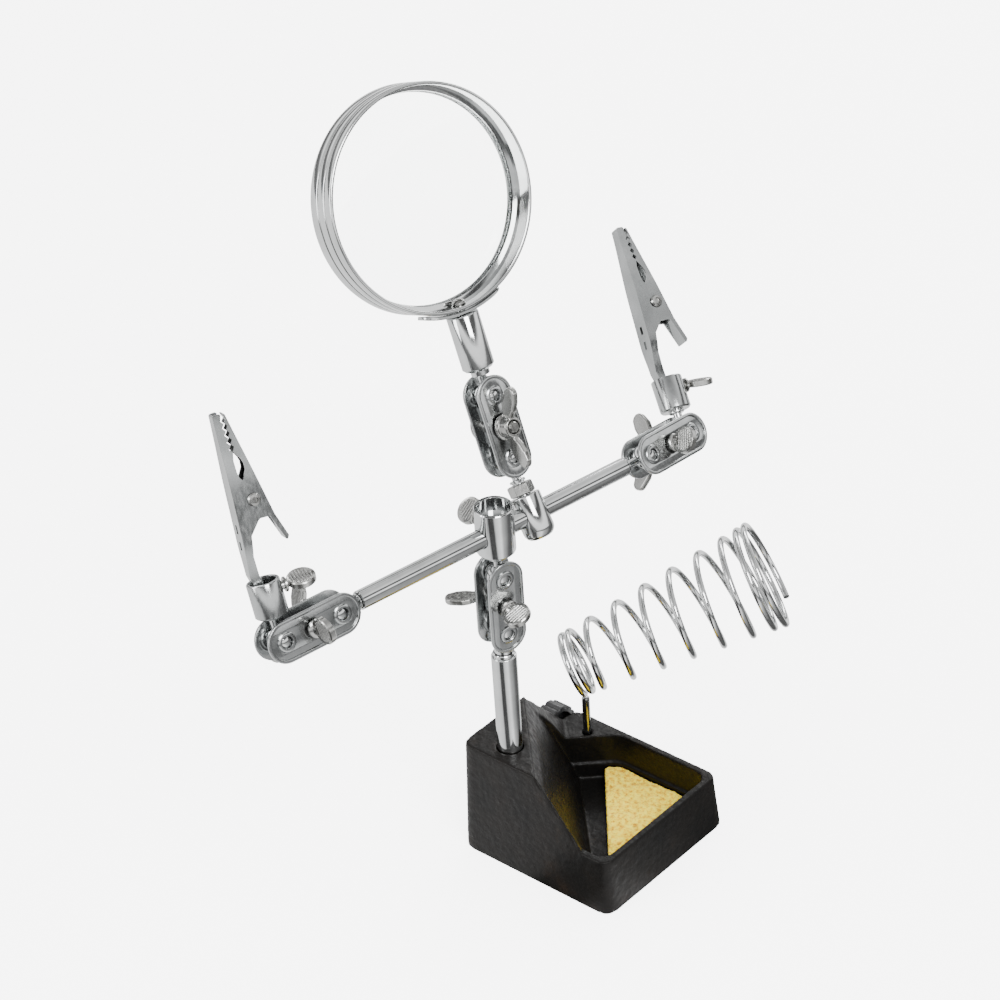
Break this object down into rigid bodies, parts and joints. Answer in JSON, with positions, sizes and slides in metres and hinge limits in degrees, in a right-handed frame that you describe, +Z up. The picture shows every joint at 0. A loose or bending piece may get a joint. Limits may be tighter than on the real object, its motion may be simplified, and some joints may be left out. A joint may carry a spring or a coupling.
{
  "type": "soldering iron station",
  "caption": "Helping-hands soldering stand: cast base with sponge tray, coil iron holder, post, cross rod on ball joints, spring clips and a round magnifier.",
  "frame": {"origin": "centre of the base's flat underside", "axes": "+Z up along the post; +X and +Y along the edges of the square base, with the post's corner at -X -Y and the iron holder's corner at -X +Y"},
  "size_m": [0.1095, 0.1903, 0.2452],
  "materials": {
    "cast_iron": "satin black enamel over a cast surface",
    "chrome": "bright nickel or chrome plating",
    "steel": "plated sheet steel",
    "hardware": "plated zinc and steel fasteners",
    "spring": "spring steel wire",
    "black_plastic": "moulded, satin",
    "sponge": "dry cellulose sponge",
    "glass": "polished biconvex lens"
  },
  "bodies": {
    "base": {"base_casting": "cast_iron", "post": "chrome", "post_screw": "hardware", "post_washer": "hardware"},
    "sponge": {"sponge": "sponge"},
    "iron_holder": {"holder_stem": "steel", "holder_coil": "chrome"},
    "holder_knob": {"holder_knob": "black_plastic", "holder_screw": "hardware"},
    "post_ball": {"post_ball_stud": "chrome"},
    "post_joint": {"post_joint_front_plate": "chrome", "post_joint_back_plate": "chrome"},
    "clamp_ball": {"clamp_ball_stud": "chrome"},
    "rod_clamp": {"rod_clamp": "chrome"},
    "cross_rod": {"cross_rod": "chrome"},
    "left_rod_ball": {"left_rod_ball_stud": "chrome"},
    "left_joint": {"left_joint_front_plate": "chrome", "left_joint_back_plate": "chrome"},
    "left_clip_ball": {"left_clip_ball_stud": "chrome"},
    "left_clip": {"left_clip_collar": "chrome", "left_fixed_jaw": "steel", "left_jaw_rivet": "hardware", "left_jaw_spring": "spring"},
    "left_moving_jaw": {"left_moving_jaw": "steel"},
    "right_rod_ball": {"right_rod_ball_stud": "chrome"},
    "right_joint": {"right_joint_front_plate": "chrome", "right_joint_back_plate": "chrome"},
    "right_clip_ball": {"right_clip_ball_stud": "chrome"},
    "right_clip": {"right_clip_collar": "chrome", "right_fixed_jaw": "steel", "right_jaw_rivet": "hardware", "right_jaw_spring": "spring"},
    "right_moving_jaw": {"right_moving_jaw": "steel"},
    "magnifier_clamp": {"magnifier_clamp": "chrome"},
    "magnifier_lower_ball": {"magnifier_lower_ball_stud": "chrome"},
    "magnifier_joint": {"magnifier_joint_front_plate": "chrome", "magnifier_joint_back_plate": "chrome"},
    "magnifier_upper_ball": {"magnifier_upper_ball_stud": "chrome"},
    "magnifier_head": {"magnifier_handle": "chrome", "lens_saddle": "chrome", "handle_screw": "hardware", "lens_ring": "chrome", "lens_retainer": "steel", "lens": "glass"},
    "post_thumb_screw": {"post_joint_thumb_screw": "hardware"},
    "post_wing_nut": {"post_joint_wing_nut": "hardware"},
    "rod_clamp_screw": {"rod_clamp_screw": "hardware"},
    "left_thumb_screw": {"left_joint_thumb_screw": "hardware"},
    "left_wing_nut": {"left_joint_wing_nut": "hardware"},
    "left_collar_screw": {"left_collar_screw": "hardware"},
    "right_thumb_screw": {"right_joint_thumb_screw": "hardware"},
    "right_wing_nut": {"right_joint_wing_nut": "hardware"},
    "right_collar_screw": {"right_collar_screw": "hardware"},
    "magnifier_lock_nut": {"magnifier_lock_nut": "hardware"},
    "magnifier_thumb_screw": {"magnifier_joint_thumb_screw": "hardware"},
    "magnifier_wing_nut": {"magnifier_joint_wing_nut": "hardware"}
  },
  "joints": [
    {"name": "sponge_lift", "type": "slide", "parent": "base", "child": "sponge", "axis": [0, 0, 1], "range_m": [0, 0.025]},
    {"name": "iron_holder_turn", "type": "hinge", "parent": "base", "child": "iron_holder", "pos_m": [-0.019, 0.021, 0.016], "axis": [0, 0, -1], "range_deg": [-175, 100]},
    {"name": "post_ball_spin", "type": "hinge", "parent": "base", "child": "post_ball", "pos_m": [-0.0164, -0.0189, 0.0842], "axis": [0, 0, 1], "continuous": true},
    {"name": "post_joint_swing", "type": "hinge", "parent": "post_ball", "child": "post_joint", "pos_m": [-0.0164, -0.0189, 0.0842], "axis": [0.9659, -0.2588, 0], "range_deg": [-22, 60]},
    {"name": "clamp_ball_swing", "type": "hinge", "parent": "post_joint", "child": "clamp_ball", "pos_m": [-0.0164, -0.0189, 0.1042], "axis": [-0.9659, 0.2588, 0], "range_deg": [-60, 20]},
    {"name": "rod_clamp_spin", "type": "hinge", "parent": "clamp_ball", "child": "rod_clamp", "pos_m": [-0.0164, -0.0189, 0.1042], "axis": [0, 0, 1], "continuous": true},
    {"name": "cross_rod_slide", "type": "slide", "parent": "rod_clamp", "child": "cross_rod", "axis": [0.1702, 0.9854, 0], "range_m": [-0.002, 0.04]},
    {"name": "left_rod_ball_spin", "type": "hinge", "parent": "cross_rod", "child": "left_rod_ball", "pos_m": [-0.02661, -0.07802, 0.1198], "axis": [-0.1702, -0.9854, 0], "continuous": true},
    {"name": "left_joint_swing", "type": "hinge", "parent": "left_rod_ball", "child": "left_joint", "pos_m": [-0.02661, -0.07802, 0.1198], "axis": [-0.9317, 0.1609, -0.3256], "range_deg": [-135, 75]},
    {"name": "left_clip_swing", "type": "hinge", "parent": "left_joint", "child": "left_clip_ball", "pos_m": [-0.03002, -0.09773, 0.1198], "axis": [0.9317, -0.1609, 0.3256], "range_deg": [-12, 190]},
    {"name": "left_clip_spin", "type": "hinge", "parent": "left_clip_ball", "child": "left_clip", "pos_m": [-0.03002, -0.09773, 0.1198], "axis": [-0.3178, 0.0726, 0.9454], "continuous": true},
    {"name": "left_jaw_open", "type": "hinge", "parent": "left_clip", "child": "left_moving_jaw", "pos_m": [-0.04234, -0.0914, 0.16087], "axis": [-0.8587, 0.4007, -0.3194], "range_deg": [0, 20], "stiffness_Nm_per_rad": 0.1, "springref_deg": -22.92},
    {"name": "right_rod_ball_spin", "type": "hinge", "parent": "cross_rod", "child": "right_rod_ball", "pos_m": [-0.00619, 0.04022, 0.1198], "axis": [0.1702, 0.9854, 0], "range_deg": [-120, 175]},
    {"name": "right_joint_swing", "type": "hinge", "parent": "right_rod_ball", "child": "right_joint", "pos_m": [-0.00619, 0.04022, 0.1198], "axis": [-0.8616, -0.0622, -0.5038], "range_deg": [-58, 72]},
    {"name": "right_clip_swing", "type": "hinge", "parent": "right_joint", "child": "right_clip_ball", "pos_m": [-0.00637, 0.06011, 0.11766], "axis": [0.8616, 0.0622, 0.5038], "range_deg": [-115, 24]},
    {"name": "right_clip_spin", "type": "hinge", "parent": "right_clip_ball", "child": "right_clip", "pos_m": [-0.00637, 0.06011, 0.11766], "axis": [-0.6213, 0.3281, 0.7116], "continuous": true},
    {"name": "right_jaw_open", "type": "hinge", "parent": "right_clip", "child": "right_moving_jaw", "pos_m": [-0.03199, 0.07753, 0.14796], "axis": [-0.7019, 0.1707, -0.6915], "range_deg": [0, 20], "stiffness_Nm_per_rad": 0.1, "springref_deg": -22.92},
    {"name": "magnifier_clamp_turn", "type": "hinge", "parent": "cross_rod", "child": "magnifier_clamp", "pos_m": [-0.01395, -0.00471, 0.1198], "axis": [-0.1702, -0.9854, 0], "range_deg": [-140, 80]},
    {"name": "magnifier_ball_spin", "type": "hinge", "parent": "magnifier_clamp", "child": "magnifier_lower_ball", "pos_m": [-0.02425, -0.00293, 0.1353], "axis": [-0.551, 0.0952, 0.829], "continuous": true},
    {"name": "magnifier_joint_swing", "type": "hinge", "parent": "magnifier_lower_ball", "child": "magnifier_joint", "pos_m": [-0.02425, -0.00293, 0.1353], "axis": [0.9137, -0.1578, 0.3746], "range_deg": [-48, 42]},
    {"name": "magnifier_head_swing", "type": "hinge", "parent": "magnifier_joint", "child": "magnifier_upper_ball", "pos_m": [-0.03164, -0.00166, 0.15385], "axis": [-0.9137, 0.1578, -0.3746], "range_deg": [-58, 60]},
    {"name": "magnifier_head_spin", "type": "hinge", "parent": "magnifier_upper_ball", "child": "magnifier_head", "pos_m": [-0.03164, -0.00166, 0.15385], "axis": [-0.3691, 0.0638, 0.9272], "continuous": true},
    {"name": "holder_knob_turn", "type": "hinge", "parent": "base", "child": "holder_knob", "pos_m": [-0.0372, 0.021, 0.0146], "axis": [1, 0, 0], "continuous": true},
    {"name": "post_wing_nut_turn", "type": "hinge", "parent": "post_joint", "child": "post_wing_nut", "pos_m": [-0.0164, -0.0189, 0.0942], "axis": [0.9659, -0.2588, 0], "continuous": true},
    {"name": "left_wing_nut_turn", "type": "hinge", "parent": "left_joint", "child": "left_wing_nut", "pos_m": [-0.02831, -0.08788, 0.1198], "axis": [0.9317, -0.1609, 0.3256], "continuous": true},
    {"name": "right_wing_nut_turn", "type": "hinge", "parent": "right_joint", "child": "right_wing_nut", "pos_m": [-0.00628, 0.05017, 0.11873], "axis": [0.8616, 0.0622, 0.5038], "continuous": true},
    {"name": "magnifier_wing_nut_turn", "type": "hinge", "parent": "magnifier_joint", "child": "magnifier_wing_nut", "pos_m": [-0.02795, -0.00229, 0.14458], "axis": [-0.9137, 0.1578, -0.3746], "continuous": true},
    {"name": "rod_clamp_screw_turn", "type": "hinge", "parent": "rod_clamp", "child": "rod_clamp_screw", "pos_m": [-0.0164, -0.0189, 0.122], "axis": [-0.9854, 0.1702, 0], "continuous": true},
    {"name": "post_thumb_screw_turn", "type": "hinge", "parent": "post_joint", "child": "post_thumb_screw", "pos_m": [-0.0164, -0.0189, 0.0942], "axis": [0.9659, -0.2588, 0], "continuous": true},
    {"name": "left_thumb_screw_turn", "type": "hinge", "parent": "left_joint", "child": "left_thumb_screw", "pos_m": [-0.02831, -0.08788, 0.1198], "axis": [0.9317, -0.1609, 0.3256], "continuous": true},
    {"name": "right_thumb_screw_turn", "type": "hinge", "parent": "right_joint", "child": "right_thumb_screw", "pos_m": [-0.00628, 0.05017, 0.11873], "axis": [0.8616, 0.0622, 0.5038], "continuous": true},
    {"name": "magnifier_thumb_screw_turn", "type": "hinge", "parent": "magnifier_joint", "child": "magnifier_thumb_screw", "pos_m": [-0.02795, -0.00229, 0.14458], "axis": [-0.9137, 0.1578, -0.3746], "continuous": true},
    {"name": "left_collar_screw_turn", "type": "hinge", "parent": "left_clip", "child": "left_collar_screw", "pos_m": [-0.03491, -0.09662, 0.13436], "axis": [0.402, 0.9133, 0.065], "continuous": true},
    {"name": "right_collar_screw_turn", "type": "hinge", "parent": "right_clip", "child": "right_collar_screw", "pos_m": [-0.01594, 0.06516, 0.12862], "axis": [0.3484, 0.9291, -0.1242], "continuous": true},
    {"name": "magnifier_lock_nut_turn", "type": "hinge", "parent": "magnifier_clamp", "child": "magnifier_lock_nut", "pos_m": [-0.01395, -0.00471, 0.1198], "axis": [-0.551, 0.0952, 0.829], "continuous": true}
  ]
}
